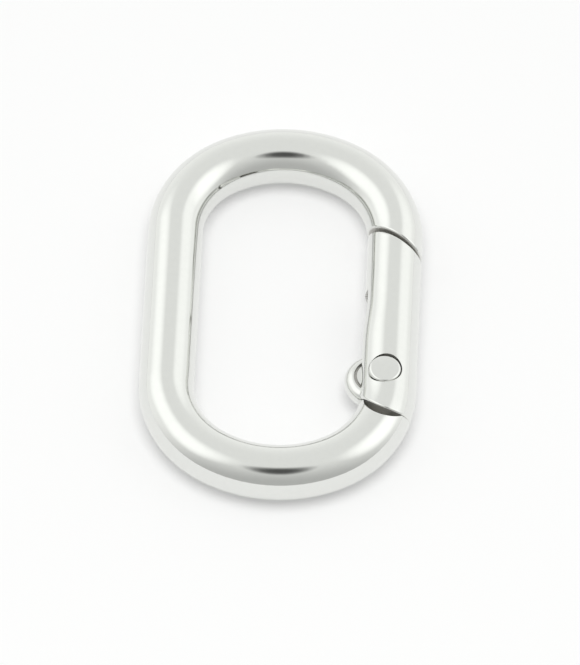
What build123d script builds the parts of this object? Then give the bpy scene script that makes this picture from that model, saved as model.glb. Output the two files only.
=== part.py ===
"""Oval spring-gate ring, lying flat, in millimetres.

The ring is one oval of round stock. Its right-hand long side is a hinged gate
that swings into the oval and springs shut again. +X points to the gate, +Y
along the oval and +Z up. The origin is under the oval's centre, on the plane
that the ring lies on.
"""

import os
from math import asin, cos, degrees, radians, sin, tan

from build123d import *

# The oval and its stock
ring_width = 25.0
ring_length = 40.0
stock_diameter = 5.0
corner_offset = 1.2  # from the long axis to the centres of the corner arcs
crest_gain = 1.35  # how much the end arc's radius is over half the centreline width

# The slanted joint at the gate's nose
nose_below_bend = 1.0  # from the top end of the straight down to the joint
nose_slant = 31.0  # degrees, lower on the outer side
nose_gap = 0.3
nose_round = 0.22

# The gate's rounded tail and the shoulder behind it
tail_offset = 0.9  # tail arc's centre, outwards from the stock's centreline
tail_drop = 0.85  # tail arc's centre, below the rivet
tail_bulge = 1.2  # how much the tail arc's radius is over the stock's radius
tail_gap = 0.1
tail_round = 0.2
relief_radius = 2.1  # hollow in the middle of the shoulder, which widens the gap there
relief_inset = 0.1  # hollow's centre, inwards from the stock's centreline
relief_depth = 0.6  # hollow's deepest point, past the tail's end
nose_turn = 35.0  # degrees of the top bend that the gate's stock is drawn into
tail_turn = 45.0  # degrees of the bottom bend

# The rivet
pin_above_bend = 1.2  # from the bottom end of the straight up to the rivet
pin_to_web = 2.0
pin_diameter = 1.8
pin_running_clearance = 0.05
head_diameter = 2.9
head_depth = 0.9  # from the stock's crown to the head's seat
head_groove = 0.1
head_crown = 0.12  # from the head's top, level with the stock, down to its rim
head_rim_round = 0.12

# The slot and the spring's bore in the gate
web_thickness = 0.9
slot_width = 2.2
bore_diameter = 2.7
bore_inset = 0.15  # bore's axis, inwards from the rivet's axis
cheek_swell = 0.28  # how much the slotted side stands out, spread by the riveting
cheek_start = 0.7  # from the slot's end down to where the swell begins
cheek_run = 5.0  # length over which the swell grows
cheek_steps = 5

# The body's tongue, whose round end is the cam that the plunger rides on
cam_offset = 1.0  # cam's centre, inwards from the rivet's axis
cam_clearance = 0.1
open_angle = 45.0
tongue_side_clearance = 0.08
tongue_rim_round = 0.9
cam_groove_inset = 0.83  # from the cam's rim to the groove round its flat sides
cam_groove_width = 0.28
cam_groove_depth = 0.3
neck_half_width = 1.3
neck_corner_round = 0.5
neck_root_turn = 27.0  # degrees round the bottom corner to the neck's root

# The plunger and its spring
foot_clearance = 0.04
foot_thickness = 1.0
foot_side_clearance = 0.1
stem_length = 3.2
stem_clearance = 0.1
spring_length = 5.8  # as fitted, gate shut
wire_diameter = 0.35
wire_sides = 8  # few, because the wire is long and thin
spring_side_clearance = 0.1
spring_pitch = 1.3

# Places worked out from the sizes above
stock_radius = stock_diameter / 2
half_width = ring_width / 2 - stock_radius
half_length = ring_length / 2 - stock_radius
corner_radius = half_width - corner_offset
crest_radius = half_width + crest_gain
blend_angle = asin(corner_offset / (crest_radius - corner_radius))
cap_height = crest_radius - (crest_radius - corner_radius) * cos(blend_angle)
straight_half = half_length - cap_height
crest_centre = half_length - crest_radius
corner_sweep = 90 - degrees(blend_angle)
crest_sweep = 180 - 2 * corner_sweep

web_x = half_width + stock_radius - web_thickness
pin_x = web_x - pin_to_web
pin_y = pin_above_bend - straight_half
nose_y = straight_half - nose_below_bend
bore_x = pin_x - bore_inset

cam_x = pin_x - cam_offset
cam_radius = pin_to_web - cam_clearance + cam_offset * cos(radians(open_angle))
foot_y = pin_y + cam_radius + foot_clearance
foot_top = foot_y + foot_thickness
blind_end_y = foot_top + spring_length
travel = cam_offset * sin(radians(open_angle))
spring_outer_radius = bore_diameter / 2 - spring_side_clearance

mid_plane = Plane.XY.offset(stock_radius)
seat_height = stock_radius - head_depth  # heads' seats, above and below the middle plane
reach = stock_diameter  # how far the cutting outlines go past the stock

os.makedirs("parts", exist_ok=True)


def gate_outline(tail_extra, nose_extra):
    """Plan of the gate's stretch of the oval, grown at its tail and its nose."""
    inner = half_width - reach
    outer = half_width + reach
    tail_y = pin_y - tail_drop
    slope = tan(radians(nose_slant))
    lift = nose_y + nose_extra / cos(radians(nose_slant))
    with BuildSketch(mid_plane) as outline:
        with Locations((half_width + tail_offset, tail_y)):
            Circle(stock_radius + tail_bulge + tail_extra)
        with BuildLine():
            Polyline(
                (inner, tail_y),
                (outer, tail_y),
                (outer, lift - reach * slope),
                (inner, lift + reach * slope),
                close=True,
            )
        make_face()
    return outline.sketch


def gate_section(y, swell):
    """Section of the gate's stock at y: round, with its inner half widened."""
    place = Plane((half_width, y, stock_radius), x_dir=(1, 0, 0), z_dir=(0, -1, 0))
    with BuildSketch(place) as section:
        with BuildLine():
            inner_reach = stock_radius + swell
            EllipticalCenterArc((0, 0), inner_reach, stock_radius, 90, arc_size=180)
            CenterArc((0, 0), stock_radius, 270, 180)
        make_face()
    return section.sketch


# Stock of the gate's side, from one bend into the other, widened along the slot
cheek_top = blind_end_y - cheek_start
cheek_bottom = cheek_top - cheek_run
with BuildPart() as gate_stock:
    with BuildLine(mid_plane) as upper_line:
        CenterArc((corner_offset, straight_half), corner_radius, nose_turn, -nose_turn)
        Line((half_width, straight_half), (half_width, cheek_top))
    with BuildSketch(Plane(upper_line.line @ 0, z_dir=upper_line.line % 0)):
        Circle(stock_radius)
    sweep()
    sections = []
    for step in range(cheek_steps + 1):
        share = step / cheek_steps
        swell = cheek_swell * share**2 * (3 - 2 * share)
        sections.append(gate_section(cheek_top - share * cheek_run, swell))
    loft(sections)
    with BuildLine(mid_plane) as lower_line:
        Line((half_width, cheek_bottom), (half_width, -straight_half))
        CenterArc((corner_offset, -straight_half), corner_radius, 0, -tail_turn)
    sweep(gate_section(cheek_bottom, cheek_swell), path=lower_line.line)

# Gate: slanted nose, round tail, spring bore, inner slot and rivet holes
with BuildPart() as gate:
    add(gate_stock.part)
    add(gate_outline(0, 0))
    extrude(amount=reach, both=True, mode=Mode.INTERSECT)
    nose_face = gate.faces().sort_by_distance((half_width, nose_y, stock_radius))[0]
    fillet(nose_face.edges(), nose_round)
    tail_point = (half_width, pin_y - tail_drop - stock_radius - tail_bulge, stock_radius)
    tail_face = gate.faces().sort_by_distance(tail_point)[0]
    fillet(tail_face.edges(), tail_round)
    with BuildSketch(Plane.XZ.offset(-blind_end_y)):
        with Locations((bore_x, stock_radius)):
            Circle(bore_diameter / 2)
    extrude(amount=ring_length, mode=Mode.SUBTRACT)
    with BuildSketch(mid_plane):
        with Locations((web_x, blind_end_y)):
            Rectangle(ring_width, ring_length, align=(Align.MAX, Align.MAX))
    extrude(amount=slot_width / 2, both=True, mode=Mode.SUBTRACT)
    with BuildSketch(mid_plane):
        with Locations((pin_x, pin_y)):
            Circle(pin_diameter / 2)
    extrude(amount=reach, both=True, mode=Mode.SUBTRACT)
    for side in (1, -1):
        with BuildSketch(mid_plane.offset(side * seat_height)):
            with Locations((pin_x, pin_y)):
                Circle(head_diameter / 2 + head_groove)
        extrude(amount=side * reach, mode=Mode.SUBTRACT)

# Tongue: a rounded plate from the cam to its root inside the body's stock
with BuildPart() as tongue:
    tongue_thickness = slot_width - 2 * tongue_side_clearance
    root_turn = radians(neck_root_turn)
    root_x = corner_offset + corner_radius * cos(root_turn)
    root_y = -straight_half - corner_radius * sin(root_turn)
    with BuildSketch(mid_plane) as tongue_plan:
        with Locations((pin_x, pin_y), (root_x, root_y)):
            Circle(neck_half_width)
        make_hull()
        with Locations((cam_x, pin_y)):
            Circle(cam_radius)
        # above the neck's two root points come the two where it leaves the round end
        corners = tongue_plan.vertices().sort_by(Axis.Y)[2:4]
        fillet(corners, neck_corner_round)
    extrude(amount=tongue_thickness / 2, both=True)
    rims = tongue.faces().filter_by(Axis.Z).edges()
    fillet(rims, tongue_rim_round)
    for side in (1, -1):
        with BuildSketch(mid_plane.offset(side * tongue_thickness / 2)):
            with Locations((cam_x, pin_y)):
                Circle(cam_radius - cam_groove_inset)
                Circle(cam_radius - cam_groove_inset - cam_groove_width, mode=Mode.SUBTRACT)
        extrude(amount=-side * cam_groove_depth, mode=Mode.SUBTRACT)
    with BuildSketch(mid_plane):
        with Locations((pin_x, pin_y)):
            Circle(pin_diameter / 2 + pin_running_clearance)
    extrude(amount=reach, both=True, mode=Mode.SUBTRACT)

# Body: the rest of the oval as one C, with the tongue grown from its shoulder
with BuildPart() as ring_body:
    with BuildLine(mid_plane) as body_line:
        Line((half_width, 0), (half_width, straight_half))
        CenterArc((corner_offset, straight_half), corner_radius, 0, corner_sweep)
        CenterArc((0, crest_centre), crest_radius, corner_sweep, crest_sweep)
        CenterArc((-corner_offset, straight_half), corner_radius, 180 - corner_sweep, corner_sweep)
        Line((-half_width, straight_half), (-half_width, -straight_half))
        CenterArc((-corner_offset, -straight_half), corner_radius, 180, corner_sweep)
        CenterArc((0, -crest_centre), crest_radius, 180 + corner_sweep, crest_sweep)
        CenterArc((corner_offset, -straight_half), corner_radius, 360 - corner_sweep, corner_sweep)
    with BuildSketch(Plane(body_line.line @ 0, z_dir=body_line.line % 0)):
        Circle(stock_radius)
    sweep()
    add(gate_outline(tail_gap, nose_gap))
    extrude(amount=reach, both=True, mode=Mode.SUBTRACT)
    seat_face = ring_body.faces().sort_by_distance((half_width, nose_y, stock_radius))[0]
    fillet(seat_face.edges(), nose_round)
    relief_x = half_width - relief_inset
    relief_y = tail_point[1] - relief_depth
    with BuildSketch(mid_plane):
        with Locations((relief_x, relief_y + relief_radius)):
            Circle(relief_radius)
    extrude(amount=reach, both=True, mode=Mode.SUBTRACT)
    add(tongue.part)

# Rivet: a shank with two flat-seated heads, whose tops are turned to a low crown
with BuildPart() as rivet_pin:
    shank_radius = pin_diameter / 2
    head_radius = head_diameter / 2
    rim_height = stock_radius - head_crown
    rivet_middle = (pin_x, pin_y, stock_radius)
    with BuildSketch(Plane(rivet_middle, x_dir=(1, 0, 0), z_dir=(0, -1, 0))) as rivet_half:
        with BuildLine():
            Polyline(
                (0, stock_radius),
                (0, 0),
                (shank_radius, 0),
                (shank_radius, seat_height),
                (head_radius, seat_height),
                (head_radius, rim_height),
            )
            TangentArc((0, stock_radius), (head_radius, rim_height), tangent=(1, 0))
        make_face()
        head_side = rivet_half.vertices().group_by(Axis.X)[-1]
        fillet(head_side.sort_by(Axis.Y)[-1], head_rim_round)
    revolve(axis=Axis(rivet_middle, (0, 0, 1)))
    mirror(about=mid_plane)

# Plunger: a turned foot that bears on the cam, and a stem inside the spring
with BuildPart() as plunger:
    foot_radius = bore_diameter / 2 - foot_side_clearance
    stem_radius = spring_outer_radius - wire_diameter - stem_clearance
    with BuildSketch(Plane.XZ.offset(-foot_y)):
        with Locations((bore_x, stock_radius)):
            Circle(foot_radius)
    extrude(amount=-foot_thickness)
    with BuildSketch(Plane.XZ.offset(-foot_top)):
        with Locations((bore_x, stock_radius)):
            Circle(stem_radius)
    extrude(amount=-stem_length)

# Compression spring with ground ends, seated on the foot and the blind end
with BuildPart() as gate_spring:
    coil_radius = spring_outer_radius - wire_diameter / 2
    coil_base = (bore_x, foot_top, stock_radius)
    with BuildLine() as coil_line:
        Helix(spring_pitch, spring_length, coil_radius, center=coil_base, direction=(0, 1, 0))
    with BuildSketch(Plane(coil_line.line @ 0, z_dir=coil_line.line % 0)):
        RegularPolygon(wire_diameter / 2, wire_sides)
    sweep(is_frenet=True)
    with BuildSketch(Plane.XZ.offset(-foot_top)):
        with Locations((bore_x, stock_radius)):
            Circle(bore_diameter)
    extrude(amount=-spring_length, mode=Mode.INTERSECT)

nodes = {
    "ring_body": ring_body,
    "gate": gate,
    "rivet_pin": rivet_pin,
    "plunger": plunger,
    "gate_spring": gate_spring,
}
for name, piece in nodes.items():
    piece.part.label = name
    export_step(piece.part, f"parts/{name}.step")

print("oval half length of straight", round(straight_half, 3), "corner radius", round(corner_radius, 3))
print("rivet at", round(pin_x, 3), round(pin_y, 3), "cam radius", round(cam_radius, 3))
print("spring length", round(spring_length, 3), "plunger travel", round(travel, 3))
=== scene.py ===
from math import asin, atan2, cos, pi, radians, sin, sqrt

import bmesh
import bpy
from mathutils import Matrix, Vector


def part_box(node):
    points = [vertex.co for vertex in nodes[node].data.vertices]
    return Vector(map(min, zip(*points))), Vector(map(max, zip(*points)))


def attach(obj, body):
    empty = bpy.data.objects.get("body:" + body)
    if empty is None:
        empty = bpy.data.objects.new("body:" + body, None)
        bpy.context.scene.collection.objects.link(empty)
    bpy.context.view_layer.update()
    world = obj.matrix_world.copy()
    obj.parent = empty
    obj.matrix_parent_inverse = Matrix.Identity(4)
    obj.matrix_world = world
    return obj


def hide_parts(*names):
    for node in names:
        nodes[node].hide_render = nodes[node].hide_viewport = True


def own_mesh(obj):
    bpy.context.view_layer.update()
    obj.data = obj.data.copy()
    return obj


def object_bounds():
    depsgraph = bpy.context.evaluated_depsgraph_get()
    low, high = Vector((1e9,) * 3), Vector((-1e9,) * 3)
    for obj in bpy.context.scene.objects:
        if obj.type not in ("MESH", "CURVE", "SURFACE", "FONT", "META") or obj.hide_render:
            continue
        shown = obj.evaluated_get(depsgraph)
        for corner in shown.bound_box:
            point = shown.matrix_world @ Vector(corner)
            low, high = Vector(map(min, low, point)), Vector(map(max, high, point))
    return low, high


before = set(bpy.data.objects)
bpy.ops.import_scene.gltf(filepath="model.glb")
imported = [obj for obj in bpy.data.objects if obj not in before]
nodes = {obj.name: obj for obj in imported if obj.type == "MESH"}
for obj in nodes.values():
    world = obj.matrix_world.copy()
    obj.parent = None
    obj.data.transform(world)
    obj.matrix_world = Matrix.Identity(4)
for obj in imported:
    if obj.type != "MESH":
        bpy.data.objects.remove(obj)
mm = 0.001
cadLow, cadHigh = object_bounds()
print("frame loaded:", ", ".join(sorted(nodes)))


# The oval that the stock's centreline follows, from the frame and its own corner shape
oval = {
    "stockRadius": (cadHigh.z - cadLow.z) / 2,
    "cornerOffset": 1.2 * mm,  # long axis to the corner arcs' centres
    "crestGain": 1.35 * mm,  # end arc's radius over half the centreline's width
}
oval["halfWidth"] = (cadHigh.x - cadLow.x) / 2 - oval["stockRadius"]
oval["halfLength"] = (cadHigh.y - cadLow.y) / 2 - oval["stockRadius"]
oval["cornerRadius"] = oval["halfWidth"] - oval["cornerOffset"]
oval["crestRadius"] = oval["halfWidth"] + oval["crestGain"]
oval["crestCentre"] = oval["halfLength"] - oval["crestRadius"]
oval["crestAngle"] = asin(oval["cornerOffset"] / (oval["crestRadius"] - oval["cornerRadius"]))
oval["straightHalf"] = oval["crestCentre"] + (oval["crestRadius"] - oval["cornerRadius"]) * cos(
    oval["crestAngle"]
)


def toLinear(hexCode):
    channels = []
    for start in (0, 2, 4):
        value = int(hexCode[start : start + 2], 16) / 255
        channels.append(value / 12.92 if value <= 0.04045 else ((value + 0.055) / 1.055) ** 2.4)
    return (*channels, 1.0)


def addNode(tree, kind, settings=None, links=None):
    # settings name either a property or an input socket; links feed this node's inputs
    node = tree.nodes.new(kind)
    for name, value in (settings or {}).items():
        if isinstance(name, str) and hasattr(node, name):
            setattr(node, name, value)
        else:
            node.inputs[name].default_value = value
    for name, source in (links or {}).items():
        tree.links.new(source, node.inputs[name])
    return node


def newMaterial(name):
    material = bpy.data.materials.new(name)
    material.use_nodes = True
    tree = material.node_tree
    tree.nodes.clear()
    return material, tree


# Nickel plate: a zinc casting tumbled, buffed and plated with bright nickel.
# It mirrors its surroundings a little softly, with faint buffing lines and a slow cast waviness.
# Inside the joints, where the buffing wheel doesn't reach, it is dull, and painted shade darkens
# it there.
brightNickel = {
    "colour": "EBECE9",
    "dimmedColour": "E6E7E4",
    "roughness": 0.075,
    "roughnessSpread": 0.05,
    "wavinessSize": 2.6,  # mm between the swells that the casting leaves
    "wavinessHeight": 0.0016,
    "buffingPitch": 0.12,  # mm, coarser than real so that it shows
    "buffingSquash": 0.06,  # the pattern's size across the ring over its size along it
    "buffingHeight": 0.00012,
    "pitSize": 0.55,
    "pitHeight": 0.0004,
    # painted shade: the darker colour laid on the faces deep in the joints and grooves
    "recessShadeColour": "CFCECA",
    "recessRoughness": 0.6,
}


def brightNickelPlate(name, look):
    material, tree = newMaterial(name)
    place = addNode(tree, "ShaderNodeTexCoord").outputs["Object"]
    inMm = addNode(
        tree, "ShaderNodeVectorMath", {"operation": "SCALE", "Scale": 1 / mm}, {0: place}
    ).outputs["Vector"]
    swell = addNode(
        tree,
        "ShaderNodeTexNoise",
        {"Scale": 1 / look["wavinessSize"], "Detail": 2.0, "Roughness": 0.45},
        {"Vector": inMm},
    ).outputs["Fac"]
    pits = addNode(
        tree,
        "ShaderNodeTexNoise",
        {"Scale": 1 / look["pitSize"], "Detail": 4.0, "Roughness": 0.6},
        {"Vector": inMm},
    ).outputs["Fac"]
    # buffing runs along the stock: stretched noise, long in Y and short across
    stretched = addNode(
        tree, "ShaderNodeMapping", {"Scale": (1.0, look["buffingSquash"], 1.0)}, {"Vector": inMm}
    ).outputs["Vector"]
    buffing = addNode(
        tree,
        "ShaderNodeTexNoise",
        {"Scale": 1 / look["buffingPitch"], "Detail": 2.0, "Roughness": 0.5},
        {"Vector": stretched},
    ).outputs["Fac"]
    tint = addNode(
        tree,
        "ShaderNodeMix",
        {"data_type": "RGBA", 6: toLinear(look["dimmedColour"]), 7: toLinear(look["colour"])},
        {0: pits},
    ).outputs[2]
    roughness = addNode(
        tree,
        "ShaderNodeMapRange",
        {
            "From Min": 0.3,
            "From Max": 0.7,
            "To Min": look["roughness"] - look["roughnessSpread"] / 2,
            "To Max": look["roughness"] + look["roughnessSpread"] / 2,
        },
        {"Value": buffing},
    ).outputs["Result"]
    recess = addNode(tree, "ShaderNodeAttribute", {"attribute_name": "recess"}).outputs["Fac"]
    # painted shade: recessed faces are mixed towards the darker recess colour, and are also made
    # rougher
    tint = addNode(
        tree,
        "ShaderNodeMix",
        {"data_type": "RGBA", 7: toLinear(look["recessShadeColour"])},
        {0: recess, 6: tint},
    ).outputs[2]
    roughness = addNode(
        tree,
        "ShaderNodeMix",
        {"data_type": "FLOAT", 3: look["recessRoughness"]},
        {0: recess, 2: roughness},
    ).outputs[0]
    bump = None
    for height, size in (
        (swell, look["wavinessHeight"]),
        (pits, look["pitHeight"]),
        (buffing, look["buffingHeight"]),
    ):
        links = {"Height": height}
        if bump:
            links["Normal"] = bump
        bump = addNode(
            tree, "ShaderNodeBump", {"Strength": 1.0, "Distance": size * mm}, links
        ).outputs["Normal"]
    shader = addNode(
        tree,
        "ShaderNodeBsdfPrincipled",
        {"Metallic": 1.0},
        {"Base Color": tint, "Roughness": roughness, "Normal": bump},
    )
    addNode(tree, "ShaderNodeOutputMaterial", None, {"Surface": shader.outputs["BSDF"]})
    return material


# Turned steel: rings left by the tool round the plunger, a little dulled
turnedSteel = {
    "colour": "C2C0BB",
    "darkColour": "A5A39E",
    "roughness": 0.32,
    "smoother": 0.06,  # how much the roughness falls and rises across a ring
    "rougher": 0.08,
    "feed": 0.12,  # mm between the tool's rings
    "ringHeight": 0.002,
    "grainSize": 0.25,
}

# Spring steel: hard drawn wire, bright, with draw lines along it
springSteel = {
    "colour": "BDBBB6",
    "darkColour": "8F8D88",
    "roughness": 0.25,
    "smoother": 0.06,
    "rougher": 0.08,
    "feed": 0.3,
    "ringHeight": 0.001,
    "grainSize": 0.25,
}


def machinedSteel(name, look):
    material, tree = newMaterial(name)
    place = addNode(tree, "ShaderNodeTexCoord").outputs["Object"]
    inMm = addNode(
        tree, "ShaderNodeVectorMath", {"operation": "SCALE", "Scale": 1 / mm}, {0: place}
    ).outputs["Vector"]
    # one wave of Blender's bands is about 2 pi / 20 units at scale 1
    rings = addNode(
        tree,
        "ShaderNodeTexWave",
        {
            "wave_type": "BANDS",
            "bands_direction": "Y",
            "Scale": pi / 10 / look["feed"],
            "Distortion": 0.6,
            "Detail": 2.0,
            "Detail Scale": 2.0,
        },
        {"Vector": inMm},
    ).outputs["Fac"]
    grain = addNode(
        tree,
        "ShaderNodeTexNoise",
        {"Scale": 1 / look["grainSize"], "Detail": 4.0},
        {"Vector": inMm},
    ).outputs["Fac"]
    tint = addNode(
        tree,
        "ShaderNodeMix",
        {"data_type": "RGBA", 6: toLinear(look["darkColour"]), 7: toLinear(look["colour"])},
        {0: grain},
    ).outputs[2]
    roughness = addNode(
        tree,
        "ShaderNodeMapRange",
        {
            "To Min": look["roughness"] - look["smoother"],
            "To Max": look["roughness"] + look["rougher"],
        },
        {"Value": rings},
    ).outputs["Result"]
    bump = addNode(
        tree,
        "ShaderNodeBump",
        {"Strength": 1.0, "Distance": look["ringHeight"] * mm},
        {"Height": rings},
    ).outputs["Normal"]
    shader = addNode(
        tree,
        "ShaderNodeBsdfPrincipled",
        {"Metallic": 1.0},
        {"Base Color": tint, "Roughness": roughness, "Normal": bump},
    )
    addNode(tree, "ShaderNodeOutputMaterial", None, {"Surface": shader.outputs["BSDF"]})
    return material


nickel = brightNickelPlate("brightNickelPlate", brightNickel)
steel = machinedSteel("turnedSteel", turnedSteel)
wire = machinedSteel("springSteelWire", springSteel)
print("materials made")


# How the smooth copies are made from the CAD pieces
copying = {
    "merge": 0.0002 * mm,  # points nearer than this are one
    "onSurface": 0.006 * mm,  # how near a point lies to a surface to belong to it
    "facing": 0.9,  # least cosine between a face and its surface's way out
    "curvedRounds": 2,  # how often long edges on round surfaces are halved
    "innerRounds": 3,  # and elsewhere
    "finestFacet": 0.45 * mm,
    "crease": radians(32),  # sharper edges stay sharp
    "flat": 0.9999,  # a level face, by the upward part of its normal, is shaded dead flat
    # the painted shade in the recesses starts and grows over the same depths
    "recessStart": 0.03 * mm,  # how deep under the stock's surface the plating turns dull
    "recessFull": 0.2 * mm,
}

# The gate's slotted side stands out a little, spread by the riveting
cheeks = {
    "swell": 0.28 * mm,
    "top": 1.547 * mm,  # along the gate, where the swell begins
    "run": 5.0 * mm,  # length over which it grows
}

# The body's knuckle: a disc with a fully rounded rim, and a groove in each flat side
knuckle = {
    "centre": Vector((8.6, -7.2, 2.5)) * mm,
    "radius": 2.607 * mm,
    "halfThickness": 1.02 * mm,
    "rimRound": 0.9 * mm,
    "flatRadius": 1.797 * mm,  # nearer the axis than this, depth counts from the flats
}


def stockCentre(point):
    # nearest point of the oval's centreline: straights, corner arcs and end arcs
    x, y = abs(point.x), abs(point.y)
    if y <= oval["straightHalf"]:
        near = Vector((oval["halfWidth"], y, 0))
    else:
        fromCrest = Vector((x, y - oval["crestCentre"], 0))
        if atan2(fromCrest.x, fromCrest.y) <= oval["crestAngle"]:
            centre, radius = Vector((0, oval["crestCentre"], 0)), oval["crestRadius"]
        else:
            centre = Vector((oval["cornerOffset"], oval["straightHalf"], 0))
            radius = oval["cornerRadius"]
        near = centre + (Vector((x, y, 0)) - centre).normalized() * radius
    near.x *= 1 if point.x >= 0 else -1
    near.y *= 1 if point.y >= 0 else -1
    near.z = oval["stockRadius"]
    return near


# Each form gives the point of its surface next to a point, and the way straight out of it


def roundStock(point):
    middle = stockCentre(point)
    out = (point - middle).normalized()
    return middle + out * oval["stockRadius"], out


def gateStock(point):
    # round, with the inner half of the section an ellipse that widens down the slot
    middle = stockCentre(point)
    aside = point - middle
    outward = Vector((1, 0, 0))
    if point.y < -oval["straightHalf"]:
        outward = Vector((middle.x - oval["cornerOffset"], middle.y + oval["straightHalf"], 0))
        outward.normalize()
    across, rise = aside.dot(outward), aside.z
    share = min(max((cheeks["top"] - point.y) / cheeks["run"], 0), 1)
    if across >= 0 or share == 0:
        return roundStock(point)
    high = oval["stockRadius"]
    wide = high + cheeks["swell"] * share * share * (3 - 2 * share)
    growth = -6 * cheeks["swell"] * share * (1 - share) / cheeks["run"]
    reach = sqrt((across / wide) ** 2 + (rise / high) ** 2)
    onto = middle + outward * (across / reach) + Vector((0, 0, rise / reach))
    along = Vector((-outward.y, outward.x, 0))
    out = outward * (across / wide**2) + Vector((0, 0, rise / high**2))
    out -= along * (across**2 * growth / wide**3)
    return onto, out.normalized()


def knuckleRim(point):
    fromAxis = point - knuckle["centre"]
    side = 1 if fromAxis.z > 0 else -1
    fromAxis.z = 0
    rim = knuckle["rimRound"]
    middle = knuckle["centre"] + fromAxis.normalized() * (knuckle["radius"] - rim)
    middle.z += side * (knuckle["halfThickness"] - rim)
    out = (point - middle).normalized()
    return middle + out * rim, out


def formFaces(mesh, form):
    # faces of one form: all corners on it, and facing straight out of it
    near = {vertex: form(vertex.co) for vertex in mesh.verts}
    found = set()
    for face in mesh.faces:
        if all(
            (corner.co - near[corner][0]).length < copying["onSurface"] for corner in face.verts
        ):
            way = sum((near[corner][1] for corner in face.verts), Vector()).normalized()
            if face.normal.dot(way) > copying["facing"]:
                found.add(face)
    return found


def refineCurved(mesh, form):
    # halves the form's long edges, and lays the new points on its surface
    curved = formFaces(mesh, form)
    coarse = [
        edge
        for edge in mesh.edges
        if edge.calc_length() > copying["finestFacet"]
        and any(face in curved for face in edge.link_faces)
    ]
    made = bmesh.ops.subdivide_edges(mesh, edges=coarse, cuts=1, use_grid_fill=False)
    for item in made["geom_inner"]:
        if isinstance(item, bmesh.types.BMVert):
            item.co = form(item.co)[0]
    bmesh.ops.triangulate(mesh, faces=mesh.faces)
    mesh.normal_update()


def refineInner(mesh, curved):
    # halves the long edges of all other faces, so that the dull finish and the painted shade can
    # start sharply
    coarse = [
        edge
        for edge in mesh.edges
        if edge.calc_length() > copying["finestFacet"]
        and not any(face in curved for face in edge.link_faces)
    ]
    bmesh.ops.subdivide_edges(mesh, edges=coarse, cuts=1, use_grid_fill=False)
    bmesh.ops.triangulate(mesh, faces=[face for face in mesh.faces if len(face.verts) > 3])


def shadeExactly(data, formOf):
    # normals straight from the forms' own shapes, and dead level ones on level flats
    normals = [Vector((0, 0, 0))] * len(data.loops)
    for face in data.polygons:
        for corner in face.loop_indices:
            if face.index in formOf:
                point = data.vertices[data.loops[corner].vertex_index].co
                normals[corner] = formOf[face.index](point)[1]
            elif abs(face.normal.z) > copying["flat"]:
                normals[corner] = face.normal.copy()
    data.normals_split_custom_set(normals)


def markRecesses(data):
    # 0 on the outside and 1 deep in the joints and in the knuckle's groove: the mask for the dull
    # finish and the painted shade
    recess = data.attributes.new("recess", "FLOAT", "FACE")
    for face in data.polygons:
        depth = oval["stockRadius"] - (face.center - stockCentre(face.center)).length
        fromKnuckle = face.center - knuckle["centre"]
        if fromKnuckle.xy.length < knuckle["flatRadius"]:
            depth = max(depth, knuckle["halfThickness"] - abs(fromKnuckle.z))
        share = (depth - copying["recessStart"]) / (copying["recessFull"] - copying["recessStart"])
        recess.data[face.index].value = min(max(share, 0), 1)


def addPiece(name, mesh, material, body, node):
    data = bpy.data.meshes.new(name)
    mesh.to_mesh(data)
    mesh.free()
    data.materials.append(material)
    piece = bpy.data.objects.new(name, data)
    bpy.context.scene.collection.objects.link(piece)
    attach(piece, body)
    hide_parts(node)
    print(name, "made with", len(data.polygons), "faces")
    return piece


def polishedCopy(node, body, material, forms):
    # the CAD piece with its loose triangles joined, its curved forms refined and shaded exactly
    mesh = bmesh.new()
    mesh.from_mesh(nodes[node].data)
    bmesh.ops.remove_doubles(mesh, verts=mesh.verts, dist=copying["merge"])
    mesh.normal_update()
    for step in range(copying["curvedRounds"]):
        for form in forms:
            refineCurved(mesh, form)
    curved = set()
    for form in forms:
        curved |= formFaces(mesh, form)
    for step in range(copying["innerRounds"]):
        refineInner(mesh, curved)
    bmesh.ops.dissolve_degenerate(mesh, dist=copying["merge"], edges=mesh.edges)
    bmesh.ops.triangulate(mesh, faces=[face for face in mesh.faces if len(face.verts) > 3])
    mesh.normal_update()
    for edge in mesh.edges:
        edge.smooth = len(edge.link_faces) == 2 and edge.calc_face_angle() < copying["crease"]
    for face in mesh.faces:
        face.smooth = True
    mesh.faces.index_update()
    formOf = {}
    for form in forms:
        for face in formFaces(mesh, form):
            formOf[face.index] = form
    piece = addPiece(node + "_polished", mesh, material, body, node)
    shadeExactly(piece.data, formOf)
    markRecesses(piece.data)


polishedCopy("ring_body", "ring", nickel, (roundStock, knuckleRim))
polishedCopy("gate", "gate", nickel, (gateStock,))
polishedCopy("plunger", "follower", steel, ())

# The hinge rivet: a shank and two heads, turned as one round piece.
# The heads' rims are rounded 0.25 mm, where the CAD has 0.12 mm.
rivet = {
    "shankRadius": 0.9 * mm,
    "seat": 1.6 * mm,  # from the middle plane to the heads' seats
    "crown": 0.12 * mm,  # from a head's top down to its rim, before the rim is rounded
    "rimRound": 0.25 * mm,
    "turnSteps": 96,
    "crownSteps": 10,
    "rimSteps": 6,
    "merge": 0.0005 * mm,
}


def headProfile(headRadius, headTop):
    # from the head's middle out over the crown, round the rim and down to the seat
    crown, rim = rivet["crown"], rivet["rimRound"]
    crownRadius = (headRadius**2 + crown**2) / (2 * crown)
    crownCentre = headTop - crownRadius
    rimX = headRadius - rim
    rimZ = crownCentre + sqrt((crownRadius - rim) ** 2 - rimX**2)
    turn = asin(rimX / (crownRadius - rim))
    points = []
    for step in range(rivet["crownSteps"] + 1):
        angle = turn * step / rivet["crownSteps"]
        points.append((crownRadius * sin(angle), crownCentre + crownRadius * cos(angle)))
    for step in range(1, rivet["rimSteps"] + 1):
        angle = turn + (pi / 2 - turn) * step / rivet["rimSteps"]
        points.append((rimX + rim * sin(angle), rimZ + rim * cos(angle)))
    points.append((headRadius, rivet["seat"]))
    points.append((rivet["shankRadius"], rivet["seat"]))
    points.append((rivet["shankRadius"], 0))
    return points


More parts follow.
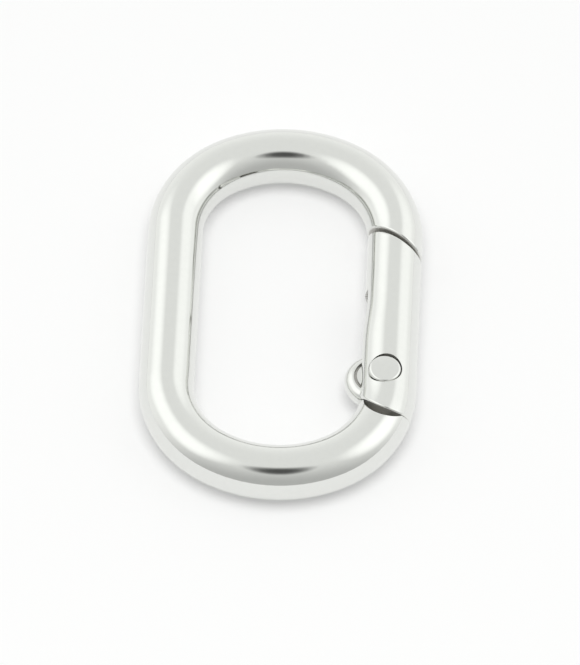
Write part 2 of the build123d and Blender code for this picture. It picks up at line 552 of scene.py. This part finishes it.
def hingeRivet():
    low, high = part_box("rivet_pin")
    middle = (low + high) / 2
    upper = headProfile((high.x - low.x) / 2, (high.z - low.z) / 2)
    profile = upper + [(x, -z) for x, z in upper[-2::-1]]
    mesh = bmesh.new()
    corners = [mesh.verts.new((middle.x + x, middle.y, middle.z + z)) for x, z in profile]
    edges = [mesh.edges.new(pair) for pair in zip(corners, corners[1:])]
    bmesh.ops.spin(
        mesh,
        geom=corners + edges,
        cent=middle,
        axis=(0, 0, 1),
        angle=2 * pi,
        steps=rivet["turnSteps"],
        use_merge=True,
    )
    bmesh.ops.remove_doubles(mesh, verts=mesh.verts, dist=rivet["merge"])
    bmesh.ops.recalc_face_normals(mesh, faces=mesh.faces)
    for edge in mesh.edges:
        edge.smooth = edge.calc_face_angle() < copying["crease"]
    for face in mesh.faces:
        face.smooth = True
    addPiece("hinge_rivet", mesh, nickel, "gate", "rivet_pin")


hingeRivet()
print("pieces copied")


# The closing spring: round wire wound between the plunger's foot and the blind end
springLow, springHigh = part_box("gate_spring")
spring = {
    "wireRadius": 0.175 * mm,
    "turns": 5.5,
    "stepsPerTurn": 36,
    "wireSides": 12,
    "travel": 0.707 * mm,  # how far the plunger presses it when the gate is open
}


def closingSpring():
    length = springHigh.y - springLow.y
    axis = (springLow + springHigh) / 2
    coilRadius = (springHigh.x - springLow.x) / 2 - spring["wireRadius"]
    mesh = bmesh.new()
    first = springLow.y + spring["wireRadius"]
    ring = bmesh.ops.create_circle(
        mesh, cap_ends=False, segments=spring["wireSides"], radius=spring["wireRadius"]
    )["verts"]
    bmesh.ops.translate(mesh, verts=ring, vec=(axis.x + coilRadius, first, axis.z))
    steps = int(spring["turns"] * spring["stepsPerTurn"])
    rise = (length - 2 * spring["wireRadius"]) / steps
    bmesh.ops.spin(
        mesh,
        geom=mesh.verts[:] + mesh.edges[:],
        cent=(axis.x, first, axis.z),
        axis=(0, 1, 0),
        dvec=(0, rise, 0),
        angle=2 * pi * spring["turns"],
        steps=steps,
        use_duplicate=False,
    )
    ends = [edge for edge in mesh.edges if edge.is_boundary]
    bmesh.ops.holes_fill(mesh, edges=ends, sides=0)
    bmesh.ops.recalc_face_normals(mesh, faces=mesh.faces)
    for face in mesh.faces:
        face.smooth = len(face.verts) == 4
    piece = addPiece("closing_spring", mesh, wire, "gate", "gate_spring")
    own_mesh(piece)


closingSpring()
print("spring wound")

# Camera: at the photograph's slope, with a long lens, aimed so that the oval sits as it does there
camera = {
    "slope": radians(55),
    "heading": radians(0.79),  # how far it stands round from the oval's foot
    "roll": radians(1.98),
    "pixelsPerMetre": 11052,
    "ovalCentre": (281.3, 312.9),
    "imageSize": (580, 665),
    "distance": 1.0,
    "nearest": 0.05,  # what lies nearer or farther, in metres, isn't drawn
    "farthest": 5.0,
    "sensor": 36.0,
}


def addCamera():
    width, height = camera["imageSize"]
    slope, heading, roll = camera["slope"], camera["heading"], camera["roll"]
    across = Vector((cos(heading), sin(heading), 0))
    ahead = Vector((-sin(heading) * cos(slope), cos(heading) * cos(slope), -sin(slope)))
    upward = across.cross(ahead)
    right = across * cos(roll) + upward * sin(roll)
    up = upward * cos(roll) - across * sin(roll)
    middle = Vector((0, 0, oval["stockRadius"]))
    shiftX = (width / 2 - camera["ovalCentre"][0]) / camera["pixelsPerMetre"]
    shiftY = (height / 2 - camera["ovalCentre"][1]) / camera["pixelsPerMetre"]
    aim = middle + right * shiftX - up * shiftY
    data = bpy.data.cameras.new("camera")
    data.sensor_width = camera["sensor"]
    data.lens = camera["sensor"] * camera["distance"] * camera["pixelsPerMetre"] / height
    data.clip_start, data.clip_end = camera["nearest"], camera["farthest"]
    item = bpy.data.objects.new("camera", data)
    turned = Matrix((right, up, -ahead)).transposed()
    item.matrix_world = Matrix.Translation(aim - ahead * camera["distance"]) @ turned.to_4x4()
    bpy.context.scene.collection.objects.link(item)
    bpy.context.scene.camera = item


addCamera()
print("camera placed")

# The stage: white paper under the ring, which fills the view and takes its soft shadow
stage = {
    "paper": "F7F7F7",
    "paperSize": 3.0,
    "whiteShare": 0.25,  # how much of the paper's white is its own, as in a bright exposure
    "white": "FEFEFE",
    "fibreSize": 0.25 * mm,
    "fibreHeight": 0.01 * mm,
}


def addPaper():
    material, tree = newMaterial("whitePaper")
    place = addNode(tree, "ShaderNodeTexCoord").outputs["Object"]
    fibre = addNode(
        tree,
        "ShaderNodeTexNoise",
        {"Scale": 1 / stage["fibreSize"], "Detail": 3.0},
        {"Vector": place},
    ).outputs["Fac"]
    bump = addNode(
        tree,
        "ShaderNodeBump",
        {"Strength": 0.2, "Distance": stage["fibreHeight"]},
        {"Height": fibre},
    ).outputs["Normal"]
    lit = addNode(
        tree,
        "ShaderNodeBsdfDiffuse",
        {"Color": toLinear(stage["paper"]), "Roughness": 0.5},
        {"Normal": bump},
    )
    bare = addNode(
        tree, "ShaderNodeEmission", {"Color": toLinear(stage["white"]), "Strength": 1.0}
    )
    rays = addNode(tree, "ShaderNodeLightPath")
    seen = addNode(
        tree,
        "ShaderNodeMath",
        {"operation": "MAXIMUM"},
        {0: rays.outputs["Is Camera Ray"], 1: rays.outputs["Is Glossy Ray"]},
    ).outputs[0]
    share = addNode(
        tree, "ShaderNodeMath", {"operation": "MULTIPLY", 1: stage["whiteShare"]}, {0: seen}
    ).outputs[0]
    both = addNode(
        tree, "ShaderNodeMixShader", None, {0: share, 1: lit.outputs[0], 2: bare.outputs[0]}
    )
    addNode(tree, "ShaderNodeOutputMaterial", None, {"Surface": both.outputs[0]})
    mesh = bmesh.new()
    bmesh.ops.create_grid(mesh, x_segments=1, y_segments=1, size=stage["paperSize"])
    data = bpy.data.meshes.new("paper")
    mesh.to_mesh(data)
    mesh.free()
    data.materials.append(material)
    paper = bpy.data.objects.new("paper", data)
    bpy.context.scene.collection.objects.link(paper)


addPaper()

# The light tent that the metal mirrors. Headings are degrees round from straight ahead,
# + to the right; each patch fades over "soft" degrees outside its half angle.
tent = {
    "tint": "FEFFFD",
    "nearHorizon": 1.0,
    "overhead": 0.86,
    "roof": 0.9,  # how high up, as a sine, the overhead brightness is reached
    "onPaper": 0.62,  # share of the tent's light that reaches the paper, beside the top lamp
    "patches": [
        {"heading": 176, "height": -29, "halfAngle": 43, "soft": 68, "bright": 0.51},  # open front
        {"heading": -97, "height": 50, "halfAngle": 1, "soft": 31, "bright": 1.25},  # left lamp
        {"heading": 82, "height": 42, "halfAngle": 1, "soft": 32, "bright": 1.3},  # right lamp
        {"heading": 175, "height": 61, "halfAngle": 1, "soft": 17, "bright": 0.09},  # camera
        {"heading": -61, "height": 39, "halfAngle": 1, "soft": 28, "bright": 1.24},  # left wall
        {"heading": 47, "height": 31, "halfAngle": 1, "soft": 24, "bright": 1.13},  # right wall
    ],
}


def addTent():
    world = bpy.data.worlds.new("tent")
    bpy.context.scene.world = world
    world.use_nodes = True
    tree = world.node_tree
    tree.nodes.clear()
    way = addNode(tree, "ShaderNodeTexCoord").outputs["Generated"]
    height = addNode(tree, "ShaderNodeSeparateXYZ", None, {0: way}).outputs["Z"]
    bright = addNode(
        tree,
        "ShaderNodeMapRange",
        {
            "interpolation_type": "SMOOTHSTEP",
            "From Min": 0.0,
            "From Max": tent["roof"],
            "To Min": tent["nearHorizon"],
            "To Max": tent["overhead"],
        },
        {"Value": height},
    ).outputs["Result"]
    for patch in tent["patches"]:
        heading, rise = radians(patch["heading"]), radians(patch["height"])
        towards = Vector((sin(heading) * cos(rise), cos(heading) * cos(rise), sin(rise)))
        alike = addNode(
            tree, "ShaderNodeVectorMath", {"operation": "DOT_PRODUCT", 1: towards}, {0: way}
        ).outputs["Value"]
        share = addNode(
            tree,
            "ShaderNodeMapRange",
            {
                "interpolation_type": "SMOOTHSTEP",
                "From Min": cos(radians(patch["halfAngle"] + patch["soft"])),
                "From Max": cos(radians(patch["halfAngle"])),
            },
            {"Value": alike},
        ).outputs["Result"]
        bright = addNode(
            tree,
            "ShaderNodeMix",
            {"data_type": "FLOAT", 3: patch["bright"]},
            {0: share, 2: bright},
        ).outputs[0]
    rays = addNode(tree, "ShaderNodeLightPath")
    dimmed = addNode(
        tree,
        "ShaderNodeMapRange",
        {"To Min": 1.0, "To Max": tent["onPaper"]},
        {"Value": rays.outputs["Is Diffuse Ray"]},
    ).outputs["Result"]
    bright = addNode(
        tree, "ShaderNodeMath", {"operation": "MULTIPLY"}, {0: bright, 1: dimmed}
    ).outputs[0]
    lit = addNode(
        tree, "ShaderNodeBackground", {"Color": toLinear(tent["tint"])}, {"Strength": bright}
    )
    white = addNode(tree, "ShaderNodeBackground", {"Color": (1, 1, 1, 1), "Strength": 1.0})
    both = addNode(
        tree,
        "ShaderNodeMixShader",
        None,
        {0: rays.outputs["Is Camera Ray"], 1: lit.outputs[0], 2: white.outputs[0]},
    )
    addNode(tree, "ShaderNodeOutputWorld", None, {"Surface": both.outputs[0]})


addTent()

# Top lamp: a soft round one above and a little in front, which keeps the shadow tight there
topLamp = {"height": 0.6, "inFront": 0.12, "diameter": 0.42, "power": 2.0}


def addTopLamp():
    data = bpy.data.lights.new("topLamp", "AREA")
    data.shape = "DISK"
    data.size = topLamp["diameter"]
    data.energy = topLamp["power"]
    lamp = bpy.data.objects.new("topLamp", data)
    lamp.location = (0, -topLamp["inFront"], topLamp["height"])
    lamp.rotation_euler = (atan2(topLamp["inFront"], topLamp["height"]), 0, 0)
    lamp.visible_glossy = False  # the metal mirrors the tent alone
    lamp.visible_camera = False
    bpy.context.scene.collection.objects.link(lamp)


addTopLamp()
bpy.context.scene.view_settings.view_transform = "Standard"
print("stage and light set")
